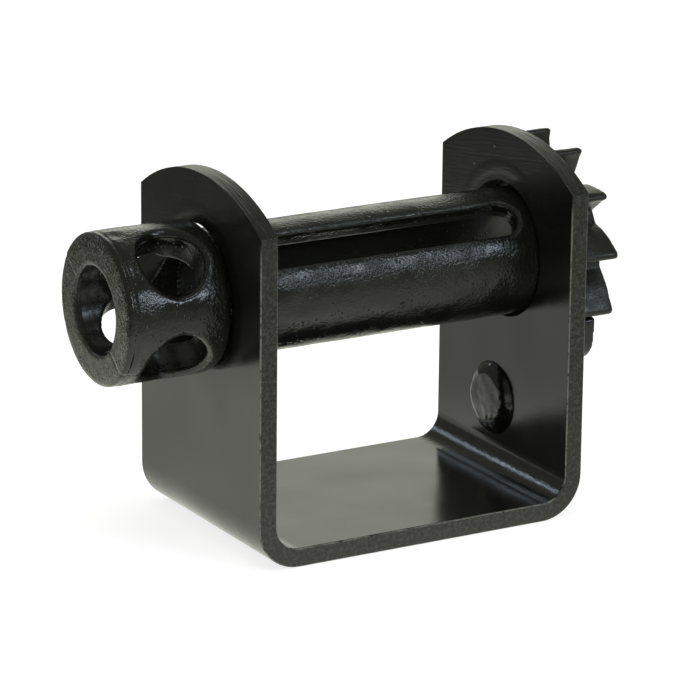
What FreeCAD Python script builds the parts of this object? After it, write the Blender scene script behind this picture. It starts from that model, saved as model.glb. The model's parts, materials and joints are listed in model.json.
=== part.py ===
"""Weld-on cargo strap winch: a bent steel frame, a slotted drum turned by a bar cap, a ratchet and a pawl.

Frame of the model: millimetres, X along the drum axis with the bar cap at -X and the ratchet at +X,
-Y the front, +Z up, origin at the centre of the base plate's underside, the face that is welded down.
Turns about the drum axis are measured about +X, from +Z towards the front.
"""
import FreeCAD
import Part
import Sketcher
import math
import os

# Driving dimensions, in millimetres and degrees.
DIMENSIONS = {
    # frame, bent from one flat bar
    "inner_width": 128.0,
    "plate_thick": 7.4,
    "plate_width": 95.3,
    "bend_radius": 9.8,
    "arm_height": 144.0,
    "arch_radius": 83.5,
    "arm_bore_radius": 27.1,
    "bore_rise": 0.5,
    "bore_shift": 0.9,
    "plate_edge": 0.7,
    # drum and its slot for the strap
    "drum_height": 96.4,
    "drum_radius": 25.0,
    "drum_hollow": 17.0,
    "slot_length": 118.0,
    "slot_width": 13.6,
    "slot_edge": 1.6,
    "slot_turn": 41.5,
    # bar cap, the forged head that a winch bar turns
    "cap_gap": 0.8,
    "cap_length": 43.5,
    "cap_radius": 29.4,
    "cap_front_round": 2.6,
    "cap_back_round": 3.6,
    "cap_hollow": 16.5,
    "cap_hollow_round": 1.6,
    "bar_hole_radius": 13.0,
    "bar_hole_back": 20.7,
    "bar_hole_round": 2.2,
    # ratchet wheel
    "wheel_gap": 1.0,
    "wheel_thick": 14.8,
    "tip_radius": 45.2,
    "root_radius": 33.2,
    "tooth_count": 12.0,
    "tooth_turn": -6.0,
    "root_turn": 9.0,
    "tip_land_turn": 2.5,
    "back_radius": 27.0,
    # pawl
    "pivot_y": 6.1,
    "pivot_z": 34.3,
    "pawl_gap": 0.6,
    "pawl_thick": 8.0,
    "pawl_boss_radius": 13.0,
    "pawl_play": 0.1,
    "pawl_arm_turn": 56.3,
    # the claw's outline: how far each corner is in front of the pivot (out) and above it (up)
    "throat_low_out": 30.6,
    "throat_low_up": 21.2,
    "throat_radius": 9.0,
    "throat_high_out": 35.2,
    "throat_high_up": 27.0,
    "finger_inner_out": 37.0,
    "finger_inner_up": 36.0,
    "finger_tip_out": 37.1,
    "finger_tip_up": 46.6,
    "finger_front_out": 46.0,
    "finger_front_up": 42.9,
    "finger_corner_radius": 1.6,
    "finger_outer_out": 47.6,
    "finger_outer_up": 41.4,
    "heel_high_out": 46.8,
    "heel_high_up": 34.0,
    "heel_radius": 10.8,
    "heel_low_out": 39.2,
    "heel_low_up": 24.8,
    "neck_out": 37.0,
    "neck_up": 13.4,
    # the rivet that the pawl swings on
    "rivet_radius": 8.0,
    "rivet_head_radius": 15.0,
    "rivet_head_height": 3.6,
    "rivet_crown_radius": 10.0,
    "rivet_head_round": 7.0,
    "rivet_tail_gap": 0.3,
    "rivet_tail_radius": 12.5,
    "rivet_tail_height": 5.0,
    # weld beads
    "weld_leg": 3.0,
    "weld_crown": 0.6,
    # how far an outline that cuts runs past what it cuts
    "cut_margin": 5.0,
}
SAME = 0.01  # lengths closer than this are the same, in millimetres

doc = FreeCAD.newDocument("strap_winch")
sheet = doc.addObject("Spreadsheet::Sheet", "params")
for row, (alias, number) in enumerate(DIMENSIONS.items(), start=1):
    sheet.set(f"A{row}", alias)
    sheet.set(f"B{row}", str(number))
    sheet.setAlias(f"B{row}", alias)
doc.recompute()

# Stations along the drum axis, as expressions of the driving dimensions.
ARM_INSIDE = "params.inner_width / 2"
ARM_OUTSIDE = "(params.inner_width / 2 + params.plate_thick)"
CAP_BACK = f"(0 - {ARM_OUTSIDE} - params.cap_gap)"
CAP_FACE = f"({CAP_BACK} - params.cap_length)"
DRUM_LEFT = CAP_BACK
WHEEL_INSIDE = f"({ARM_OUTSIDE} + params.wheel_gap)"
WHEEL_OUTSIDE = f"({WHEEL_INSIDE} + params.wheel_thick)"
DRUM_RIGHT = f"({WHEEL_OUTSIDE} - params.weld_leg)"
AXIS_X = FreeCAD.Vector(1, 0, 0)


def new_body(label, x="0", y="0", z="0", turn=None):
    """An empty body placed at (x, y, z) and turned about its X axis; each value is an expression."""
    body = doc.addObject("PartDesign::Body", label)
    body.Label = label
    body.Placement = FreeCAD.Placement(FreeCAD.Vector(0, 0, 0), FreeCAD.Rotation(AXIS_X, 1))
    for axis, text in (("x", x), ("y", y), ("z", z)):
        body.setExpression(f"Placement.Base.{axis}", text)
    body.setExpression("Placement.Rotation.Angle", turn if turn else "0")
    doc.recompute()
    return body


def origin_part(body, role):
    """The origin plane or axis of a body, by its role."""
    return next(item for item in body.Origin.OriginFeatures if item.Role == role)


def new_sketch(body, role, name, shift=None):
    """A sketch on one of the body's own origin planes, shifted along its normal by an expression."""
    sketch = body.newObject("Sketcher::SketchObject", name)
    sketch.AttachmentSupport = [(origin_part(body, role), "")]
    sketch.MapMode = "FlatFace"
    if shift:
        sketch.setExpression("AttachmentOffset.Base.z", shift)
    doc.recompute()
    return sketch


def number_of(sketch, text):
    """The number that an expression gives now."""
    return float(sketch.evalExpression(text))


def pin_point(sketch, geometry, end, x, y):
    """Ties a point of the sketch to the coordinates that two expressions give."""
    for kind, text in (("DistanceX", x), ("DistanceY", y)):
        rule = Sketcher.Constraint(kind, -1, 1, geometry, end, number_of(sketch, text))
        sketch.setExpression(f"Constraints[{sketch.addConstraint(rule)}]", text)


def draw_circle(sketch, radius, x="0", y="0"):
    """A circle whose radius and centre are expressions."""
    centre = FreeCAD.Vector(number_of(sketch, x), number_of(sketch, y), 0)
    circle = Part.Circle(centre, FreeCAD.Vector(0, 0, 1), number_of(sketch, radius))
    index = sketch.addGeometry(circle, False)
    pin_point(sketch, index, 3, x, y)
    rule = Sketcher.Constraint("Radius", index, number_of(sketch, radius))
    sketch.setExpression(f"Constraints[{sketch.addConstraint(rule)}]", radius)


def arc_between(start, end, radius, side):
    """The short arc from start to end; its centre lies to the left of that direction when side is 1."""
    chord = end - start
    middle = (start + end) * 0.5
    across = FreeCAD.Vector(-chord.y, chord.x, 0).normalize() * side
    reach = math.sqrt(max(radius ** 2 - (chord.Length / 2) ** 2, 0.0))
    top = middle + across * (reach - radius)
    return Part.Arc(start, top, end)


def draw_outline(sketch, corners):
    """A closed outline. A corner is (x, y), or (x, y, radius, side) where an arc runs on to the next one."""
    points = [FreeCAD.Vector(number_of(sketch, c[0]), number_of(sketch, c[1]), 0) for c in corners]
    ends = []
    for index, corner in enumerate(corners):
        start = points[index]
        finish = points[(index + 1) % len(points)]
        if len(corner) == 2:
            sketch.addGeometry(Part.LineSegment(start, finish), False)
            ends.append((1, 2))
        else:
            radius = number_of(sketch, corner[2])
            sketch.addGeometry(arc_between(start, finish, radius, corner[3]), False)
            forward = sketch.getPoint(index, 1).distanceToPoint(start) < 1e-6
            ends.append((1, 2) if forward else (2, 1))
    for index, corner in enumerate(corners):
        after = (index + 1) % len(corners)
        rule = Sketcher.Constraint("Coincident", index, ends[index][1], after, ends[after][0])
        sketch.addConstraint(rule)
        pin_point(sketch, index, ends[index][0], corner[0], corner[1])
        if len(corner) == 4:
            rule = Sketcher.Constraint("Radius", index, number_of(sketch, corner[2]))
            sketch.setExpression(f"Constraints[{sketch.addConstraint(rule)}]", corner[2])


def draw_box(sketch, left, right, low, high):
    """A rectangle between four expressions."""
    draw_outline(sketch, [(left, low), (right, low), (right, high), (left, high)])


def volume_of(body):
    """The volume of a body's shape."""
    return body.Shape.Volume


def add_pad(body, sketch, name, length, both_ways=False):
    """A pad of a sketch along its normal, or half of it each way."""
    pad = body.newObject("PartDesign::Pad", name)
    pad.Profile = sketch
    pad.setExpression("Length", length)
    pad.Midplane = both_ways
    doc.recompute()
    return pad


def add_cut(body, sketch, name, length=None, reverse=False):
    """A pocket through everything both ways, or of one length along the sketch's normal."""
    before = volume_of(body)
    pocket = body.newObject("PartDesign::Pocket", name)
    pocket.Profile = sketch
    if length:
        pocket.setExpression("Length", length)
        pocket.Reversed = reverse
    else:
        pocket.Type = "ThroughAll"
        pocket.Midplane = True
    doc.recompute()
    if volume_of(body) > before - SAME:
        raise RuntimeError(f"{name} cut nothing")
    return pocket


def add_turned(body, sketch, name):
    """A solid of revolution about the sketch's horizontal axis."""
    turned = body.newObject("PartDesign::Revolution", name)
    turned.Profile = sketch
    turned.ReferenceAxis = (sketch, ["H_Axis"])
    turned.Angle = 360
    doc.recompute()
    return turned


def add_ring_of(body, feature, name, count, sweep=360):
    """A polar pattern of a feature about the body's X axis."""
    pattern = body.newObject("PartDesign::PolarPattern", name)
    pattern.Originals = [feature]
    pattern.Axis = (origin_part(body, "X_Axis"), [""])
    pattern.Angle = sweep
    pattern.setExpression("Occurrences", count)
    body.Tip = pattern
    doc.recompute()
    return pattern


def add_rounding(body, name, radius, chosen):
    """A fillet on the edges of the body's tip that the test function picks."""
    base = body.Tip
    names = [f"Edge{i}" for i, edge in enumerate(base.Shape.Edges, start=1) if chosen(edge)]
    fillet = body.newObject("PartDesign::Fillet", name)
    fillet.Base = (base, names)
    fillet.setExpression("Radius", radius)
    doc.recompute()
    return fillet


def make_frame():
    """The U-shaped frame: base plate, two bends and two arms with arched tops, from one flat bar."""
    body = new_body("frame")
    size = DIMENSIONS
    half_inside = size["inner_width"] / 2
    half_outside = half_inside + size["plate_thick"]
    outer = new_sketch(body, "XZ_Plane", "frame_outer")
    draw_box(outer, f"0 - {ARM_OUTSIDE}", ARM_OUTSIDE, "0", "params.arm_height")
    add_pad(body, outer, "frame_block", "params.plate_width", both_ways=True)
    above = "params.arm_height + params.cut_margin"
    inner = new_sketch(body, "XZ_Plane", "frame_inner")
    draw_box(inner, f"0 - {ARM_INSIDE}", ARM_INSIDE, "params.plate_thick", above)
    add_cut(body, inner, "frame_channel")

    def along_y(edge):
        box = edge.BoundBox
        return box.YLength > size["plate_width"] - SAME and box.XLength + box.ZLength < SAME

    def inner_bend(edge):
        centre = edge.CenterOfMass
        return along_y(edge) and abs(abs(centre.x) - half_inside) < SAME and centre.z < half_inside

    def outer_bend(edge):
        centre = edge.CenterOfMass
        return along_y(edge) and abs(abs(centre.x) - half_outside) < SAME and centre.z < SAME

    add_rounding(body, "frame_inner_bends", "params.bend_radius", inner_bend)
    add_rounding(body, "frame_outer_bends", "params.bend_radius + params.plate_thick", outer_bend)

    # The arch that tops both arms: what lies above it is cut away.
    half = "params.plate_width / 2"
    beyond = f"{half} + params.cut_margin"
    arch_low = f"(params.arm_height - params.arch_radius + sqrt(params.arch_radius^2 - ({half})^2))"
    arch = new_sketch(body, "YZ_Plane", "frame_arch")
    draw_outline(arch, [
        (f"0 - {half}", arch_low, "params.arch_radius", -1),
        (half, arch_low),
        (beyond, arch_low),
        (beyond, above),
        (f"0 - ({beyond})", above),
        (f"0 - ({beyond})", arch_low),
    ])
    add_cut(body, arch, "frame_arched_tops")

    bores = new_sketch(body, "YZ_Plane", "frame_bores")
    bore_height = "params.drum_height + params.bore_rise"
    draw_circle(bores, "params.arm_bore_radius", x="params.bore_shift", y=bore_height)
    add_cut(body, bores, "frame_drum_bores")

    hole = new_sketch(body, "YZ_Plane", "frame_rivet_hole")
    draw_circle(hole, "params.rivet_radius", x="params.pivot_y", y="params.pivot_z")
    add_cut(body, hole, "frame_rivet_bore", length=f"{ARM_OUTSIDE} + params.cut_margin", reverse=True)

    def outline_edge(edge):
        box = edge.BoundBox
        on_side = abs(abs(edge.CenterOfMass.y) - size["plate_width"] / 2) < SAME and box.YLength < SAME
        full_width = box.XLength < SAME and box.YLength > size["plate_width"] - SAME
        return on_side or (full_width and box.ZMax > size["arm_height"] - SAME)

    add_rounding(body, "frame_broken_edges", "params.plate_edge", outline_edge)
    return body


def make_drum_tube():
    """The thick-walled drum with one slot right through it, in which the strap's end is caught."""
    body = new_body("drum_tube", z="params.drum_height", turn="params.slot_turn")
    profile = new_sketch(body, "XZ_Plane", "drum_profile")
    draw_outline(profile, [
        (f"{DRUM_LEFT} + params.weld_leg", "params.drum_hollow"),
        (DRUM_RIGHT, "params.drum_hollow"),
        (DRUM_RIGHT, "params.drum_radius"),
        (DRUM_LEFT, "params.drum_radius"),
        (DRUM_LEFT, "params.drum_hollow + params.weld_leg"),
    ])
    add_turned(body, profile, "drum_pipe")
    straight = "(params.slot_length - params.slot_width) / 2"
    half_width = "params.slot_width / 2"
    slot = new_sketch(body, "XY_Plane", "drum_slot_outline")
    draw_outline(slot, [
        (f"0 - {straight}", f"0 - {half_width}"),
        (straight, f"0 - {half_width}", half_width, 1),
        (f"{straight} + {half_width}", "0", half_width, 1),
        (straight, half_width),
        (f"0 - {straight}", half_width, half_width, 1),
        (f"0 - {straight} - {half_width}", "0", half_width, 1),
    ])
    add_cut(body, slot, "drum_slot")
    radius = DIMENSIONS["drum_radius"]
    reach = DIMENSIONS["slot_length"] / 2

    def slot_lip(edge):
        box = edge.BoundBox
        outside = all(abs(math.hypot(v.Y, v.Z) - radius) < SAME for v in edge.Vertexes)
        inside_slot = max(abs(box.XMin), abs(box.XMax)) < reach + SAME
        return outside and inside_slot and box.YLength < DIMENSIONS["slot_width"] + SAME

    add_rounding(body, "drum_slot_lips", "params.slot_edge", slot_lip)
    return body


def make_winch_cap():
    """The forged cap that a winch bar turns: two crossed holes right through its hollow head."""
    body = new_body("winch_cap", z="params.drum_height", turn="params.slot_turn")
    profile = new_sketch(body, "XZ_Plane", "cap_profile")
    draw_outline(profile, [
        (f"{CAP_FACE} + params.cap_hollow_round", "params.cap_hollow", "params.cap_hollow_round", -1),
        (CAP_FACE, "params.cap_hollow + params.cap_hollow_round"),
        (CAP_FACE, "params.cap_radius - params.cap_front_round", "params.cap_front_round", -1),
        (f"{CAP_FACE} + params.cap_front_round", "params.cap_radius"),
        (f"{CAP_BACK} - params.cap_back_round", "params.cap_radius", "params.cap_back_round", -1),
        (CAP_BACK, "params.cap_radius - params.cap_back_round"),
        (CAP_BACK, "params.cap_hollow"),
    ])
    add_turned(body, profile, "cap_forging")
    hole = new_sketch(body, "XY_Plane", "cap_bar_hole_outline")
    draw_circle(hole, "params.bar_hole_radius", x=f"{CAP_BACK} - params.bar_hole_back")
    cut = add_cut(body, hole, "cap_bar_hole")
    add_ring_of(body, cut, "cap_crossed_holes", "2", sweep=90)
    mid_wall = (DIMENSIONS["cap_hollow"] + DIMENSIONS["cap_radius"]) / 2
    hole_radius = DIMENSIONS["bar_hole_radius"]

    def bar_mouth(edge):
        middle = edge.valueAt((edge.FirstParameter + edge.LastParameter) / 2)
        across_hole = hole_radius < edge.BoundBox.XLength < 2 * hole_radius + SAME
        return across_hole and math.hypot(middle.y, middle.z) > mid_wall

    add_rounding(body, "cap_bar_mouths", "params.bar_hole_round", bar_mouth)
    return body


def make_ratchet_wheel():
    """The ratchet wheel: saw teeth with radial faces and rounded backs, on the drum's far end."""
    body = new_body("ratchet_wheel", z="params.drum_height", turn="params.tooth_turn")
    disc = new_sketch(body, "YZ_Plane", "wheel_disc_outline", shift=WHEEL_INSIDE)
    draw_circle(disc, "params.tip_radius")
    draw_circle(disc, "params.drum_radius")
    add_pad(body, disc, "wheel_disc", "params.wheel_thick")

    def polar(radius, turn):
        return (f"0 - ({radius}) * sin({turn})", f"({radius}) * cos({turn})")

    pitch = "(360 / params.tooth_count)"
    crest = f"({pitch} - params.tip_land_turn)"
    gap = new_sketch(body, "YZ_Plane", "wheel_gap_outline")
    beyond = "params.tip_radius + params.cut_margin"
    draw_outline(gap, [
        ("0", beyond),
        ("0", "params.root_radius"),
        polar("params.root_radius", "params.root_turn") + ("params.back_radius", 1),
        polar("params.tip_radius", crest),
        polar(beyond, crest),
    ])
    cut = add_cut(body, gap, "wheel_tooth_gap")
    add_ring_of(body, cut, "wheel_teeth", "params.tooth_count")
    return body


def make_pawl():
    """The pawl: a flat claw on the rivet, whose finger stands under one tooth of the wheel."""
    body = new_body("pawl", x=f"{ARM_OUTSIDE} + params.pawl_gap", y="params.pivot_y", z="params.pivot_z")
    claw = new_sketch(body, "YZ_Plane", "pawl_outline")

    def corner(name):
        return (f"0 - params.{name}_out", f"params.{name}_up")

    arm_y = "params.pawl_boss_radius * cos(params.pawl_arm_turn)"
    arm_z = "params.pawl_boss_radius * sin(params.pawl_arm_turn)"
    draw_outline(claw, [
        (arm_y, arm_z),
        corner("throat_low") + ("params.throat_radius", -1),
        corner("throat_high"),
        corner("finger_inner"),
        corner("finger_tip"),
        corner("finger_front") + ("params.finger_corner_radius", 1),
        corner("finger_outer"),
        corner("heel_high") + ("params.heel_radius", 1),
        corner("heel_low"),
        corner("neck"),
        (f"0 - {arm_y}", f"0 - {arm_z}"),
    ])
    add_pad(body, claw, "pawl_claw", "params.pawl_thick")
    boss = new_sketch(body, "YZ_Plane", "pawl_boss_outline")
    draw_circle(boss, "params.pawl_boss_radius")
    add_pad(body, boss, "pawl_boss", "params.pawl_thick")
    hole = new_sketch(body, "YZ_Plane", "pawl_hole_outline")
    draw_circle(hole, "params.rivet_radius + params.pawl_play")
    add_cut(body, hole, "pawl_hole")
    return body


def make_pawl_rivet():
    """The rivet: broad low head inside the arm, shank through arm and pawl, formed tail outside."""
    body = new_body("pawl_rivet", x=ARM_INSIDE, y="params.pivot_y", z="params.pivot_z")
    tail = "(params.plate_thick + params.pawl_gap + params.pawl_thick + params.rivet_tail_gap)"
    dome = "(params.rivet_tail_radius^2 + params.rivet_tail_height^2) / (2 * params.rivet_tail_height)"
    profile = new_sketch(body, "XZ_Plane", "rivet_profile")
    draw_outline(profile, [
        ("0 - params.rivet_head_height", "0"),
        ("0 - params.rivet_head_height", "params.rivet_crown_radius", "params.rivet_head_round", -1),
        ("0", "params.rivet_head_radius"),
        ("0", "params.rivet_radius"),
        (tail, "params.rivet_radius"),
        (tail, "params.rivet_tail_radius", dome, -1),
        (f"{tail} + params.rivet_tail_height", "0"),
    ])
    add_turned(body, profile, "rivet_solid")
    return body


def make_cap_weld():
    """The weld bead inside the bore, where the drum's end meets the cap."""
    body = new_body("cap_weld", z="params.drum_height")
    profile = new_sketch(body, "XZ_Plane", "cap_weld_profile")
    draw_outline(profile, [
        (DRUM_LEFT, "params.drum_hollow + params.weld_leg"),
        (DRUM_LEFT, "params.drum_hollow - params.weld_crown"),
        (f"{DRUM_LEFT} + params.weld_leg", "params.drum_hollow"),
    ])
    add_turned(body, profile, "cap_weld_bead")
    return body


def make_ratchet_weld():
    """The fillet weld in the corner between the drum's end face and the wheel's bore."""
    body = new_body("ratchet_weld", z="params.drum_height")
    profile = new_sketch(body, "XZ_Plane", "ratchet_weld_profile")
    draw_outline(profile, [
        (DRUM_RIGHT, "params.drum_radius"),
        (DRUM_RIGHT, "params.drum_radius - params.weld_leg"),
        (f"{WHEEL_OUTSIDE} - params.weld_crown", "params.drum_radius"),
    ])
    add_turned(body, profile, "ratchet_weld_bead")
    return body


bodies = [
    make_frame(),
    make_drum_tube(),
    make_winch_cap(),
    make_ratchet_wheel(),
    make_pawl(),
    make_pawl_rivet(),
    make_cap_weld(),
    make_ratchet_weld(),
]
doc.recompute()

for item in doc.Objects:
    if "Invalid" in item.State or "Error" in item.State:
        raise RuntimeError(f"{item.Name} did not recompute: {item.State}")
for body in bodies:
    if body.Shape.isNull() or not body.Shape.isValid() or len(body.Shape.Solids) != 1:
        raise RuntimeError(f"{body.Label} is not one valid solid")

os.makedirs("parts", exist_ok=True)
for body in bodies:
    body.Shape.exportStep(f"parts/{body.Label}.step")
    box = body.Shape.BoundBox
    print(f"{body.Label}: {body.Shape.Volume / 1000:.1f} cm3, "
          f"X {box.XMin:.1f} to {box.XMax:.1f}, Y {box.YMin:.1f} to {box.YMax:.1f}, "
          f"Z {box.ZMin:.1f} to {box.ZMax:.1f}")
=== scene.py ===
"""The looks of a weld-on cargo strap winch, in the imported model's frame: metres, +X along the drum, +Z up."""
import json
import math

import bpy
from mathutils import Matrix, Vector, noise


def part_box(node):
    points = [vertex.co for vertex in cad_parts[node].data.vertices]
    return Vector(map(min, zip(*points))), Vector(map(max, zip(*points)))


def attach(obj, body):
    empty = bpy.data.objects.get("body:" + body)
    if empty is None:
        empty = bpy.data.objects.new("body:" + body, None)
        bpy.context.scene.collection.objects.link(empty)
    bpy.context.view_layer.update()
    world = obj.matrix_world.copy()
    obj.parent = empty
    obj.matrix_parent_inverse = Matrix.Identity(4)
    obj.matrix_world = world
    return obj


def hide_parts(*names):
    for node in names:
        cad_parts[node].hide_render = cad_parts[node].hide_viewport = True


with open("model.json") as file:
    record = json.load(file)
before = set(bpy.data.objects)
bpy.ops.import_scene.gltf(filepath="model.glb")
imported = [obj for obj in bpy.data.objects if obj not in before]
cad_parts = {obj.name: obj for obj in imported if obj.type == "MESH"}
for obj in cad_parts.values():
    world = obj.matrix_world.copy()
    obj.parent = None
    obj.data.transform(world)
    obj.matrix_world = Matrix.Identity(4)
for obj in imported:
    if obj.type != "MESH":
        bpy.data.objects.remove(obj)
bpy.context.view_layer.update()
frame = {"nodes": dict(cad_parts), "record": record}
nodes = frame["nodes"]
scene = bpy.context.scene
MM = 0.001
CAP_LOW, CAP_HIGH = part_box("winch_cap")
RIVET_LOW, RIVET_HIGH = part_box("pawl_rivet")
CAP_RADIUS = (CAP_HIGH.z - CAP_LOW.z) / 2
AXIS_Y = (CAP_LOW.y + CAP_HIGH.y) / 2  # the drum's axis runs along X through AXIS_Y and AXIS_Z
AXIS_Z = (CAP_LOW.z + CAP_HIGH.z) / 2

# ---------------------------------------------------------------- camera
AIM = Vector((-0.00466, 0.00129, 0.06494))  # the middle of the view, near the middle of the winch
DISTANCE = 1.6018  # from AIM
AZIMUTH, ELEVATION, ROLL = (math.radians(angle) for angle in (-30.385, 16.801, 0.631))
LENS_MM, SENSOR_MM = 213.46, 36
CLIP_START, CLIP_END = 0.05, 20


def make_camera():
    """The camera, looking at AIM from the front left and a little above."""
    back = Vector((math.sin(AZIMUTH) * math.cos(ELEVATION), -math.cos(AZIMUTH) * math.cos(ELEVATION),
                   math.sin(ELEVATION)))
    right = Vector((0, 0, 1)).cross(back).normalized()
    up = back.cross(right)
    rolled_right = math.cos(ROLL) * right + math.sin(ROLL) * up
    rolled_up = math.cos(ROLL) * up - math.sin(ROLL) * right
    data = bpy.data.cameras.new("camera")
    data.lens = LENS_MM
    data.sensor_width = SENSOR_MM
    data.clip_start = CLIP_START
    data.clip_end = CLIP_END
    camera = bpy.data.objects.new("camera", data)
    scene.collection.objects.link(camera)
    turned = Matrix((rolled_right, rolled_up, back)).transposed().to_4x4()
    camera.matrix_world = Matrix.Translation(AIM + DISTANCE * back) @ turned
    scene.camera = camera


# ---------------------------------------------------------------- node helpers
TILT_SHARE = 1.3  # bump depth over (tilt x size) that gives noise lumps about that tilt
PIMPLE_CELL = 1.9 * MM  # one pimple in each cell of this size
PIMPLE_REACH = 0.34  # a pimple's radius, as a share of its cell


class Graph:
    """Adds nodes to a material or world. An input takes a number, a tuple or the output of another node."""

    def __init__(self, owner, coordinates="Object"):
        self.tree = owner.node_tree
        self.coords = self.add("ShaderNodeTexCoord").outputs[coordinates]

    def put(self, socket, value):
        """Sets an input, or links it. None leaves it alone."""
        if isinstance(value, (int, float, tuple)):
            socket.default_value = value
        elif value is not None:
            self.tree.links.new(value, socket)

    def add(self, kind, inputs=(), **settings):
        """A new node with these settings, and its inputs given by name or number."""
        node = self.tree.nodes.new(kind)
        for name, setting in settings.items():
            setattr(node, name, setting)
        for socket, value in dict(inputs).items():
            self.put(node.inputs[socket], value)
        return node

    def maths(self, operation, *values):
        return self.add("ShaderNodeMath", enumerate(values), operation=operation).outputs[0]

    def plus(self, a, b):
        return self.maths("ADD", a, b)

    def minus(self, a, b):
        return self.maths("SUBTRACT", a, b)

    def times(self, *factors):
        product = factors[0]
        for factor in factors[1:]:
            product = self.maths("MULTIPLY", product, factor)
        return product

    def dimmed(self, value, share, where):
        """A value, less that share of it where the mask is 1."""
        return self.times(value, self.minus(1.0, self.times(where, share)))

    def split(self, vector):
        """The x, y and z of a vector."""
        return self.add("ShaderNodeSeparateXYZ", {0: vector}).outputs

    def length(self, a, b):
        """The length of the vector (a, b)."""
        return self.maths("SQRT", self.plus(self.times(a, a), self.times(b, b)))

    def facing(self):
        """The x, y and z of the surface's direction, without its bumps."""
        return self.split(self.add("ShaderNodeNewGeometry").outputs["Normal"])

    def off_axis(self):
        """The distance from the drum's axis, in metres."""
        place = self.split(self.coords)
        return self.length(self.minus(place[1], AXIS_Y), self.minus(place[2], AXIS_Z))

    def ramp(self, value, low, high, from_value=0.0, to_value=1.0):
        """A smooth climb from one value to another, as the input goes from low to high."""
        inputs = enumerate((value, low, high, from_value, to_value))
        return self.add("ShaderNodeMapRange", inputs, interpolation_type="SMOOTHSTEP").outputs[0]

    def within(self, value, start, end):
        """1 where the value is between two stretches, start and end, and 0 outside them."""
        return self.times(self.ramp(value, *start), self.ramp(value, *end))

    def near(self, place, inner, outer):
        """1 within one distance of a point and 0 beyond another, in metres."""
        distance = self.add("ShaderNodeVectorMath", {0: self.coords, 1: place}, operation="DISTANCE")
        return self.ramp(distance.outputs["Value"], outer, inner)

    def noise(self, per_metre, detail, rough=0.5, stretch=None, turn=None):
        """Smooth noise with so many lumps to the metre; its space is turned first, and then stretched."""
        space = self.coords
        for socket, value in (("Rotation", turn), ("Scale", stretch)):
            if value:
                space = self.add("ShaderNodeMapping", {"Vector": space, socket: value}).outputs[0]
        inputs = {"Vector": space, "Scale": per_metre, "Detail": detail, "Roughness": rough}
        return self.add("ShaderNodeTexNoise", inputs).outputs["Fac"]

    def patches(self, per_metre, detail, low, high, rough=0.5, values=(0.0, 1.0)):
        """Soft patches: one value where noise is under low, another where it is over high."""
        return self.ramp(self.noise(per_metre, detail, rough), low, high, *values)

    def bump(self, height, depth, strength=1.0, under=None):
        """A bump, its depth in metres, on top of the one under it."""
        inputs = {"Height": height, "Distance": depth, "Strength": strength, "Normal": under}
        return self.add("ShaderNodeBump", inputs).outputs[0]

    def lumps(self, size_mm, tilt_deg, detail=0.0, strength=1.0, under=None, stretch=None, turn=None):
        """A bump of smooth lumps of the given size, whose sides tilt by about the given angle."""
        size = size_mm * MM
        height = self.noise(1 / size, detail, stretch=stretch, turn=turn)
        return self.bump(height, math.radians(tilt_deg) * size * TILT_SHARE, strength, under)

    def pimples(self, height_mm, strength, under):
        """A bump of small round domes, one in each cell."""
        inputs = {"Vector": self.coords, "Scale": 1 / PIMPLE_CELL, "Smoothness": 0.0}
        cells = self.add("ShaderNodeTexVoronoi", inputs, feature="SMOOTH_F1")
        dome = self.ramp(cells.outputs["Distance"], PIMPLE_REACH, 0.0)
        return self.bump(dome, height_mm * MM, strength, under)

    def colour(self, share, a, b):
        """The colour a where share is 0, and b where it is 1; they are the node's inputs 6 and 7."""
        return self.add("ShaderNodeMix", {0: share, 6: a, 7: b}, data_type="RGBA").outputs[2]

    def finish_by_ray(self, output, ray, for_others, for_ray):
        """Ends in one shader for this kind of ray, and in another for all other rays."""
        is_ray = self.add("ShaderNodeLightPath").outputs[ray]
        mix = self.add("ShaderNodeMixShader", {0: is_ray, 1: for_others.outputs[0], 2: for_ray.outputs[0]})
        self.put(self.tree.nodes[output].inputs[0], mix.outputs[0])


# ---------------------------------------------------------------- paint
def olive(level):
    """The near-black of the paint: a grey with a touch of green."""
    return (level * 0.98, level, level * 0.8, 1.0)


PAINT_DARK, PAINT_PALE = olive(0.005), olive(0.009)
PAINT_CLOUDS = {"per_metre": 60, "detail": 3}  # where the paint is dark and where it is pale
# Soft patches of noise, as Graph.patches takes them.
GRAIN_PATCHES = {"per_metre": 55, "detail": 2, "low": 0.36, "high": 0.64, "values": (0.35, 1.1)}
SHINE_PATCHES = {"per_metre": 220, "detail": 5, "low": 0.35, "high": 0.7}
PIMPLE_PATCHES = {"per_metre": 130, "detail": 2, "low": 0.44, "high": 0.6}
END_SPECKS = {"per_metre": 1300, "detail": 3, "low": 0.46, "high": 0.62, "rough": 0.6}
END_SPECK_SHADE = 0.1
END_DEPTH = (4 * MM, 2 * MM)  # the specks are on the outermost 2 mm of the cap, and fade out over 2 mm more
END_FACING = (-0.8, -0.95)  # and on what faces outwards along the drum
HOLLOW_EDGE = 1.5 * MM  # a hollow's dull paint sets in over this stretch
HOLLOW_DULL, HOLLOW_CALM = 0.2, 0.75  # it is this much rougher, and has this much less grain


def new_material(name):
    """A node material, its principled shader and its graph."""
    material = bpy.data.materials.new(name)
    material.use_nodes = True
    return material, material.node_tree.nodes["Principled BSDF"], Graph(material)


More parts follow.
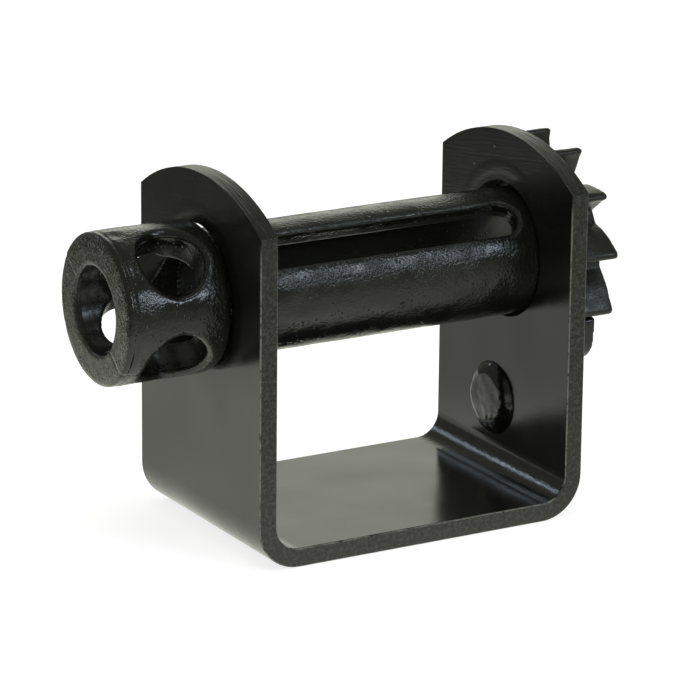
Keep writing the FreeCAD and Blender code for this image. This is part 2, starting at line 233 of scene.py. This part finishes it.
def black_paint(name, broad, grain, rough=(0.12, 0.2), pimples=None, hollow=None, end_specks=False):
    """Gloss black enamel over a rough skin. broad and grain are two layers of its lumps, each (size in mm,
    tilt in degrees). rough is the paint's least and most roughness, pimples their height in mm, and hollow
    the (radius in mm, shade) of the dull paint inside. end_specks puts pale specks on the cap's rough end."""
    material, shader, g = new_material(name)
    colour = g.colour(g.noise(**PAINT_CLOUDS), PAINT_DARK, PAINT_PALE)
    roughness = g.patches(**SHINE_PATCHES, values=rough)
    strength = g.patches(**GRAIN_PATCHES)
    if hollow:
        radius_mm, shade = hollow
        inside = g.ramp(g.off_axis(), radius_mm * MM, radius_mm * MM - HOLLOW_EDGE)
        colour = g.colour(inside, colour, olive(shade))
        roughness = g.plus(roughness, g.times(inside, HOLLOW_DULL))
        strength = g.dimmed(strength, HOLLOW_CALM, where=inside)
    if end_specks:
        start, full = (CAP_LOW.x + depth for depth in END_DEPTH)
        end = g.times(g.ramp(g.split(g.coords)[0], start, full), g.ramp(g.facing()[0], *END_FACING))
        colour = g.colour(g.times(end, g.patches(**END_SPECKS)), colour, olive(END_SPECK_SHADE))
    bumps = g.lumps(*broad, detail=1.0)
    bumps = g.lumps(*grain, detail=3.0, strength=strength, under=bumps)
    if pimples:
        bumps = g.pimples(pimples, strength=g.patches(**PIMPLE_PATCHES), under=bumps)
    g.put(shader.inputs["Base Color"], colour)
    g.put(shader.inputs["Roughness"], roughness)
    g.put(shader.inputs["Normal"], bumps)
    return material


# Where each kind of surface on the bent bar starts and is full: its heights, and how far it faces one way.
ARCH_HEIGHT = (100 * MM, 110 * MM)
BRUSH_HEIGHT = (70 * MM, 115 * MM)
WEAR_AND_HIGHLIGHT_HEIGHT = (128 * MM, 118 * MM)
ARCH_FACING = (0.5, 0.2)  # the arched tops face away from the sides
FLAT_FACING = (0.85, 0.98)  # the arms' flat faces face the sides
EDGE_FACING = (0.8, 0.97)  # the sheared edges face the front or the back
CORNER_FACING = ((0.1, 0.35), (0.99, 0.85))  # the corners of these edges face it in part
BEND_FACING = ((0.05, 0.2), (0.99, 0.9))  # the bends face the sides in part
BAR_CLOUDS = {"per_metre": 70, "detail": 3}
BAR_SHINE = {"per_metre": 60, "detail": 5, "low": 0.3, "high": 0.7, "values": (0.13, 0.2)}
EDGE_SPECKS = {"per_metre": 650, "detail": 4, "low": 0.42, "high": 0.66, "rough": 0.7}
# The lower corners of the sheared edges are pale in patches: partly worn paint, partly a painted highlight
# where these corners catch the light.
WEAR_AND_HIGHLIGHT_PATCHES = {"per_metre": 350, "detail": 6, "low": 0.34, "high": 0.56, "rough": 0.7}
EDGE_SPECK_SHADE, WEAR_AND_HIGHLIGHT_SHADE = 0.038, 0.16
ARCH_SHEARED = 0.3  # how far the arched tops look like the sheared edges
EDGE_DULL, BRUSH_DULL, ARCH_DULL = 0.05, 0.08, 0.12
BRUSH_TURN = math.radians(9)  # how much the arms' brush lines climb towards the front
RUB_RADIUS = 33 * MM  # middle of the faint ring that the wound strap's edge rubs on the arms
RUB_WIDTH = (3.5 * MM, 0.5 * MM)  # from its middle to where it starts, and to where it is full
RUB_HEIGHT = 0.14 * MM
SPECK_X = 64 * MM  # a few small raised specks are on the right arm's inner face, at these y and z in mm
SPECKS = ((-17.5, 122), (-33.6, 111.8), (8.5, 136.8), (23.1, 126.6))
SPECK_RADIUS, SPECK_HEIGHT = 1.0 * MM, 0.22 * MM


def frame_paint():
    """Paint on the bent bar: smooth rolled faces, brush lines high on the arms, coarse sheared edges."""
    material, shader, g = new_material("frame_paint")
    sideways, forwards = (g.maths("ABSOLUTE", part) for part in g.facing()[:2])
    height = g.split(g.coords)[2]
    arch = g.times(g.ramp(sideways, *ARCH_FACING), g.ramp(height, *ARCH_HEIGHT))
    edge = g.ramp(forwards, *EDGE_FACING)
    corner = g.times(g.within(forwards, *CORNER_FACING), g.ramp(height, *WEAR_AND_HIGHLIGHT_HEIGHT))
    flat = g.ramp(sideways, *FLAT_FACING)
    brushed = g.times(flat, g.ramp(height, *BRUSH_HEIGHT))
    bend = g.within(sideways, *BEND_FACING)
    sheared = g.maths("MAXIMUM", edge, g.times(arch, ARCH_SHEARED))

    colour = g.colour(g.noise(**BAR_CLOUDS), PAINT_DARK, PAINT_PALE)
    specks = g.times(sheared, sheared, g.patches(**EDGE_SPECKS))
    colour = g.colour(specks, colour, olive(EDGE_SPECK_SHADE))
    # pale patches on the lower corners: partly worn paint, partly a painted highlight
    colour = g.colour(g.times(corner, g.patches(**WEAR_AND_HIGHLIGHT_PATCHES)), colour, olive(WEAR_AND_HIGHLIGHT_SHADE))
    roughness = g.patches(**BAR_SHINE)
    for where, more in ((sheared, EDGE_DULL), (brushed, BRUSH_DULL), (arch, ARCH_DULL)):
        roughness = g.plus(roughness, g.times(where, more))

    bumps = g.lumps(size_mm=28, tilt_deg=0.7)
    bumps = g.lumps(size_mm=0.9, tilt_deg=3.0, detail=2.0, strength=brushed, under=bumps,
                    stretch=(1.0, 0.05, 1.0), turn=(BRUSH_TURN, 0, 0))
    bumps = g.lumps(size_mm=0.8, tilt_deg=17, detail=3.0, strength=edge, under=bumps,
                    stretch=(1.0, 1.0, 0.5))
    bumps = g.lumps(size_mm=0.7, tilt_deg=22, detail=2.0, strength=arch, under=bumps,
                    stretch=(1.0, 0.08, 0.08))
    bumps = g.lumps(size_mm=0.8, tilt_deg=1.2, detail=1.0, under=bumps)
    bumps = g.lumps(size_mm=1.2, tilt_deg=5.0, detail=2.0, strength=bend, under=bumps)
    from_ring = g.maths("ABSOLUTE", g.minus(g.off_axis(), RUB_RADIUS))
    bumps = g.bump(g.times(g.ramp(from_ring, *RUB_WIDTH), flat, brushed), RUB_HEIGHT, under=bumps)
    for y_mm, z_mm in SPECKS:
        speck = g.near((SPECK_X, y_mm * MM, z_mm * MM), 0.0, SPECK_RADIUS)
        bumps = g.bump(speck, SPECK_HEIGHT, under=bumps)
    g.put(shader.inputs["Base Color"], colour)
    g.put(shader.inputs["Roughness"], roughness)
    g.put(shader.inputs["Normal"], bumps)
    return material


def make_materials():
    """Every CAD node's paint, by node."""
    bead = {"broad": (2.0, 3.0), "grain": (0.5, 6.0), "rough": (0.14, 0.26)}
    paints = {
        "frame": frame_paint(),
        "drum_tube": black_paint("drum_paint", broad=(8.0, 2.0), grain=(1.0, 16.0), rough=(0.08, 0.16),
                                 pimples=0.18, hollow=(21.0, 0.03)),
        "winch_cap": black_paint("cap_paint", broad=(5.0, 2.0), grain=(1.1, 11.0), rough=(0.04, 0.09),
                                 pimples=0.2, hollow=(24.0, 0.012), end_specks=True),
        "ratchet_wheel": black_paint("wheel_paint", broad=(5.0, 2.5), grain=(0.8, 11.0), rough=(0.28, 0.4),
                                     pimples=0.08),
        "pawl": black_paint("pawl_paint", broad=(6.0, 1.5), grain=(0.7, 7.0)),
        "pawl_rivet": black_paint("rivet_paint", broad=(5.0, 3.0), grain=(0.9, 4.0), rough=(0.1, 0.18),
                                  pimples=0.05),
        "cap_weld": black_paint("cap_weld_paint", **bead, hollow=(24.0, 0.015)),
        "ratchet_weld": black_paint("ratchet_weld_paint", **bead),
    }
    for name, material in paints.items():
        data = nodes[name].data
        data.materials.clear()
        data.materials.append(material)
    return paints


# ---------------------------------------------------------------- cast, forged and welded skins
def waves(place, *layers):
    """The relief of smooth lumps: each layer is (height in mm, size in mm, seed)."""
    return sum(height_mm * noise.noise(place / (size_mm * MM) + Vector((seed, seed, seed)))
               for height_mm, size_mm, seed in layers)


def on_axis(x, elevation, radius):
    """A point at a distance from the drum's axis, its direction given in degrees up from the front."""
    angle = math.radians(elevation)
    return Vector((x, AXIS_Y - radius * math.cos(angle), AXIS_Z + radius * math.sin(angle)))


def dent(place, centre, reach_mm, depth_mm):
    """The relief of a round dent."""
    share = (place - centre).length / (reach_mm * MM)
    return -depth_mm * (1 - share ** 2) ** 2 if share < 1 else 0.0


def groove(offset_mm, width_mm, depth_mm):
    """The relief of a soft groove, at a distance from its middle line."""
    return -depth_mm * math.exp(-(offset_mm / width_mm) ** 2)


CAP_OUTSIDE, CAP_END = 1.5, 2.5  # the cap's outside and its end are what lies this near to them, in mm
CAP_GROOVE = 3.3  # from the cap's end to the middle of its groove, in mm
CAP_NOTCH = on_axis(CAP_LOW.x + 6.5 * MM, 82, CAP_RADIUS)
PARTING_Y, PARTING_Z, PARTING_OFF = 0.629, -0.777, 2.2  # the parting plane's normal, and its offset in mm
PARTING_STEP = 0.3  # how much lower one half is, in mm
PARTING_STEEPNESS = 5  # of the step between the halves, per mm


def cap_relief(place):
    """Forged skin: gentle waves, a groove behind the rim, and two halves that meet a little out of step."""
    behind = (place.x - CAP_LOW.x) / MM
    y, z = (place.y - AXIS_Y) / MM, (place.z - AXIS_Z) / MM
    parting = y * PARTING_Y + z * PARTING_Z - PARTING_OFF
    height = waves(place, (0.12, 9, 1.0), (0.05, 3.5, 2.0))
    outside = math.hypot(y, z) > CAP_RADIUS / MM - CAP_OUTSIDE
    if outside:
        height += groove(behind - CAP_GROOVE, width_mm=0.8, depth_mm=0.5)
        height += dent(place, CAP_NOTCH, reach_mm=5.0, depth_mm=0.55)
    if outside or behind < CAP_END:
        height += groove(parting, width_mm=0.45, depth_mm=0.3)
        height -= PARTING_STEP / (1 + math.exp(-parting * PARTING_STEEPNESS))
    return height


TIP_RADIUS = 42.0  # in mm; what is beyond it grows by TIP_SHARE of how far beyond it is
TIP_SHARE = 0.5 / 3


def wheel_relief(place):
    """Cast skin: uneven faces and teeth, which make up at their tips for what smoothing takes."""
    radius = math.hypot(place.y - AXIS_Y, place.z - AXIS_Z) / MM
    return max(0.0, radius - TIP_RADIUS) * TIP_SHARE + waves(place, (0.2, 8, 3.0), (0.08, 3, 4.0))


DRUM_RADIUS = 25 * MM
DRUM_KNOCK = on_axis(-42 * MM, -4, DRUM_RADIUS)
TRUE_FROM, TRUE_FADE = 60, 6  # in mm from its middle, where the drum is true, and over what length it gets so


def drum_relief(place):
    """Drawn pipe: barely wavy, with a shallow knock at the front; it stays true where it runs in the arms."""
    free = min(1.0, max(0.0, (TRUE_FROM - abs(place.x) / MM) / TRUE_FADE))
    knock = dent(place, DRUM_KNOCK, reach_mm=6.0, depth_mm=0.35)
    return free * (waves(place, (0.1, 11, 10.0)) + knock)


HEAD_THICK, TAIL_THICK = 3.4 * MM, 4.6 * MM
RIVET_Y = (RIVET_LOW.y + RIVET_HIGH.y) / 2
RIVET_CHIP = Vector((RIVET_LOW.x + 1.5 * MM, RIVET_Y - 3 * MM, RIVET_LOW.z + 1.5 * MM))


def rivet_relief(place):
    """A hammered head and tail with a chipped rim; the shank stays true."""
    if RIVET_LOW.x + HEAD_THICK < place.x < RIVET_HIGH.x - TAIL_THICK:
        return 0.0
    chip = dent(place, RIVET_CHIP, reach_mm=3.2, depth_mm=0.7)
    return waves(place, (0.45, 9, 5.5), (0.15, 3.5, 6.0)) + chip


RIPPLES, RIPPLE_HEIGHT = 46, 0.2  # round the whole bead, and in mm


def weld_relief(place):
    """The overlapping ripples of a hand-run bead."""
    turn = math.atan2(place.z - AXIS_Z, place.y - AXIS_Y)
    ripple = math.sin(turn * RIPPLES + waves(place, (2, 12, 7.0)))
    return RIPPLE_HEIGHT * ripple + waves(place, (0.25, 4, 8.0))


def pawl_relief(place):
    """Flame-cut plate: barely uneven."""
    return waves(place, (0.05, 5, 9.0))


# Each skin: the size of its faces in mm, how many times it is smoothed, and its relief.
SKINS = {
    "drum_tube": (0.7, 11, drum_relief),
    "winch_cap": (0.6, 5, cap_relief),
    "ratchet_wheel": (0.6, 8, wheel_relief),
    "pawl": (0.5, 4, pawl_relief),
    "pawl_rivet": (0.4, 14, rivet_relief),
    "cap_weld": (0.35, 2, weld_relief),
    "ratchet_weld": (0.35, 2, weld_relief),
}


def make_skin(name, body, material, face_mm, smoothings, relief):
    """A copy of a CAD node with soft edges and the relief of its real skin; it stands for the node."""
    piece = bpy.data.objects.new(name + "_skin", nodes[name].data.copy())
    scene.collection.objects.link(piece)
    remesh = piece.modifiers.new("even_faces", "REMESH")
    remesh.mode = "VOXEL"
    remesh.voxel_size = face_mm * MM
    smooth = piece.modifiers.new("soft_edges", "SMOOTH")
    smooth.iterations = smoothings
    data = bpy.data.meshes.new_from_object(piece.evaluated_get(bpy.context.evaluated_depsgraph_get()))
    moved = [v.co + v.normal * (relief(v.co) * MM) for v in data.vertices]
    for vertex, place in zip(data.vertices, moved):
        vertex.co = place
    data.shade_smooth()
    data.materials.clear()
    data.materials.append(material)
    piece.modifiers.clear()
    piece.data = data
    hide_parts(name)
    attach(piece, body)


def make_skins(paints):
    """Every piece whose real surface isn't the CAD one."""
    members = frame["record"]["behaviour"]["bodies"]
    for name, (face_mm, smoothings, relief) in SKINS.items():
        body = next(key for key, names in members.items() if name in names)
        make_skin(name, body, paints[name], face_mm, smoothings, relief)


# ---------------------------------------------------------------- stage and light
WHITE = (1, 1, 1, 1)
WARM, COOL = (0.98, 1.0, 0.87, 1), (0.83, 0.95, 1.07, 1)  # the studio's walls and table, and its softboxes
ROOM_LEVELS = (0.22, 0.26)  # how bright the dim room is under LOW_ROOM and over HIGH_ROOM
LOW_ROOM, HIGH_ROOM = math.radians(-5), math.radians(30)
# Each panel of light, in degrees: the azimuth and elevation of its middle, its half sizes and its soft edges.
# Azimuth goes from +Y towards +X. Then its radiance, and whether it is cool.
PANELS = (
    ((42, 8), (26, 22), (6, 5), 0.95, False),  # a white wall at the back right
    ((-23, 29), (3.5, 3), (2, 2), 9.0, True),  # a small softbox at the back left
    ((153, 22), (20, 9), (6, 4), 0.8, True),  # a wide softbox at the front right,
    ((153, 21), (9, 3), (2, 1.5), 10.0, True),  # its bright middle,
    ((153, 60), (16, 5), (5, 3), 5.5, True),  # and another high above it
)


def panel(g, azimuth, elevation, centre, half, soft, radiance):
    """A soft-edged rectangle of light in the sky, its sizes in degrees."""
    shares = []
    for angle, middle, reach, blur in zip((azimuth, elevation), centre, half, soft):
        off = g.maths("ABSOLUTE", g.minus(angle, math.radians(middle)))
        shares.append(g.ramp(off, math.radians(reach + blur), math.radians(reach - blur)))
    return g.times(*shares, radiance)


def make_world():
    """A dim studio with a white wall at the back right and softboxes; the camera itself sees white."""
    world = bpy.data.worlds.new("studio")
    scene.world = world
    world.use_nodes = True
    g = Graph(world, "Generated")
    direction = g.split(g.coords)
    azimuth = g.maths("ARCTAN2", direction[0], direction[1])
    elevation = g.maths("ARCSINE", direction[2])
    level = g.ramp(elevation, LOW_ROOM, HIGH_ROOM, *ROOM_LEVELS)
    cool = 0.0
    for centre, half, soft, radiance, is_cool in PANELS:
        glow = panel(g, azimuth, elevation, centre, half, soft, radiance)
        level = g.plus(level, glow)
        if is_cool:
            cool = g.plus(cool, glow)
    studio = g.tree.nodes["Background"]
    g.put(studio.inputs["Color"], g.colour(g.ramp(cool, 0.0, 1.0), WARM, COOL))
    g.put(studio.inputs["Strength"], level)
    plain = g.add("ShaderNodeBackground", {"Color": WHITE})
    g.finish_by_ray("World Output", "Is Camera Ray", studio, plain)


FLOOR_HALF = 6
FLOOR_DROP = 0.2 * MM  # it is this far under the base, so that the two faces don't fight for the same place
FLOOR_LOOK = {"Base Color": (0.5, 0.5, 0.5, 1), "Roughness": 0.9, "Specular IOR Level": 0.0,
              "Emission Color": WHITE, "Emission Strength": 0.8}
# The floor that the paint mirrors is painted light, a pool of light round the winch: its level near the winch,
# far from it, and how much less it is far behind.
MIRRORED_NEAR, MIRRORED_FAR, MIRRORED_BEHIND = 1.08, 0.62, 0.48
NEAR_REACH, FAR_REACH = 0.19, 0.49  # from the winch's middle
# behind the winch and to its front right, the painted light of the mirrored floor is dimmer
BEHIND, FRONT_RIGHT = (-0.2, 0.5), (-0.05, -0.2)  # y - x, where these parts of the floor start and are full
FRONT_RIGHT_DIMMING = 0.28
FLOOR_SHADOW_PLACE = (-30 * MM, 170 * MM, 0.0)  # a painted shadow of the winch on the mirrored floor, behind the drum
FLOOR_SHADOW_INNER, FLOOR_SHADOW_OUTER, FLOOR_SHADOW_DIMMING = 50 * MM, 140 * MM, 0.35


def make_floor():
    """The plain pale floor; in reflections it is painted light, a pool that fades with distance, as on a lit
    table, with a painted shadow behind the drum.
    """
    data = bpy.data.meshes.new("floor")
    corners = [(x, y, 0) for x, y in ((-1, -1), (1, -1), (1, 1), (-1, 1))]
    data.from_pydata([Vector(corner) * FLOOR_HALF for corner in corners], [], [range(4)])
    floor = bpy.data.objects.new("floor", data)
    scene.collection.objects.link(floor)
    floor.location = (0, 0, -FLOOR_DROP)
    material, shader, g = new_material("floor_white")
    for socket, value in FLOOR_LOOK.items():
        g.put(shader.inputs[socket], value)
    x, y = g.split(g.coords)[:2]
    across = g.minus(y, x)
    far = g.minus(MIRRORED_FAR, g.times(g.ramp(across, *BEHIND), MIRRORED_BEHIND))
    fade = g.ramp(g.length(x, y), NEAR_REACH, FAR_REACH)
    level = g.minus(MIRRORED_NEAR, g.times(fade, g.minus(MIRRORED_NEAR, far)))
    # painted shadow of the winch on the mirrored floor, behind the drum
    level = g.dimmed(level, FLOOR_SHADOW_DIMMING, where=g.near(FLOOR_SHADOW_PLACE, FLOOR_SHADOW_INNER, FLOOR_SHADOW_OUTER))
    level = g.dimmed(level, FRONT_RIGHT_DIMMING, where=g.ramp(across, *FRONT_RIGHT))
    # what the paint mirrors is painted light: the floor glows at this level for glossy rays
    mirrored = g.add("ShaderNodeEmission", {"Color": WARM, "Strength": level})
    g.finish_by_ray("Material Output", "Is Glossy Ray", shader, mirrored)
    data.materials.append(material)


TOP_PLACE, TOP_AIM = Vector((-0.3, -0.3, 1.6)), Vector((0, 0, 0.05))
TOP_SIZE, TOP_POWER = 1.2, 9


def make_top_light():
    """A broad soft light above, which the paint doesn't mirror."""
    data = bpy.data.lights.new("top", "AREA")
    data.size = TOP_SIZE
    data.energy = TOP_POWER
    light = bpy.data.objects.new("top", data)
    scene.collection.objects.link(light)
    light.location = TOP_PLACE
    light.rotation_euler = (TOP_AIM - TOP_PLACE).to_track_quat("-Z", "Y").to_euler()
    light.visible_glossy = False


scene.view_settings.view_transform = "Standard"
make_camera()
make_skins(make_materials())
make_world()
make_floor()
make_top_light()
